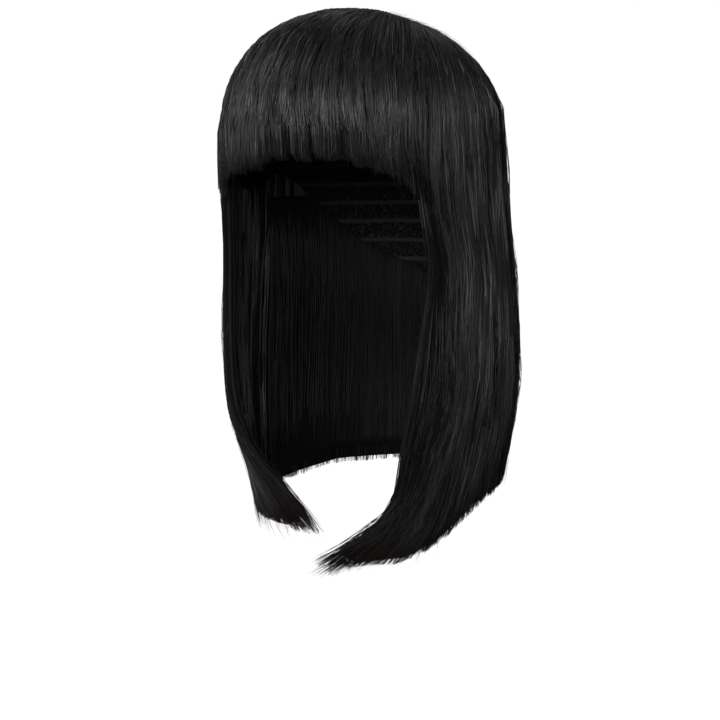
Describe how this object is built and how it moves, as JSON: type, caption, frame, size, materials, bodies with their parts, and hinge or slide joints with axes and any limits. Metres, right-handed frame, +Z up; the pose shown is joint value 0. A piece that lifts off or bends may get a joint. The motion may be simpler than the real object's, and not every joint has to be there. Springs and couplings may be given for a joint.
{
  "type": "bob wig",
  "caption": "Straight glossy black bob wig with a full blunt fringe, long front corners and a net cap",
  "frame": {"origin": "the inside of the cap, where the top of a head meets it", "axes": "+Z up, the face looks along -Y, +X is the wearer's left"},
  "size_m": [0.1837, 0.2173, 0.3484],
  "materials": {
    "hair": "glossy straight fibre, jet black",
    "front_lock_hair": "glossy straight fibre, warm black",
    "cap_net": "matt stretch net with sewn rows"
  },
  "bodies": {
    "root": {"wig_cap": "cap_net", "crown_whorl": "hair", "fringe": "hair", "left_front_lock": "front_lock_hair", "right_front_lock": "front_lock_hair", "left_side_hair": "hair", "right_side_hair": "hair", "back_hair": "hair", "nape_hair": "hair"}
  },
  "joints": []
}
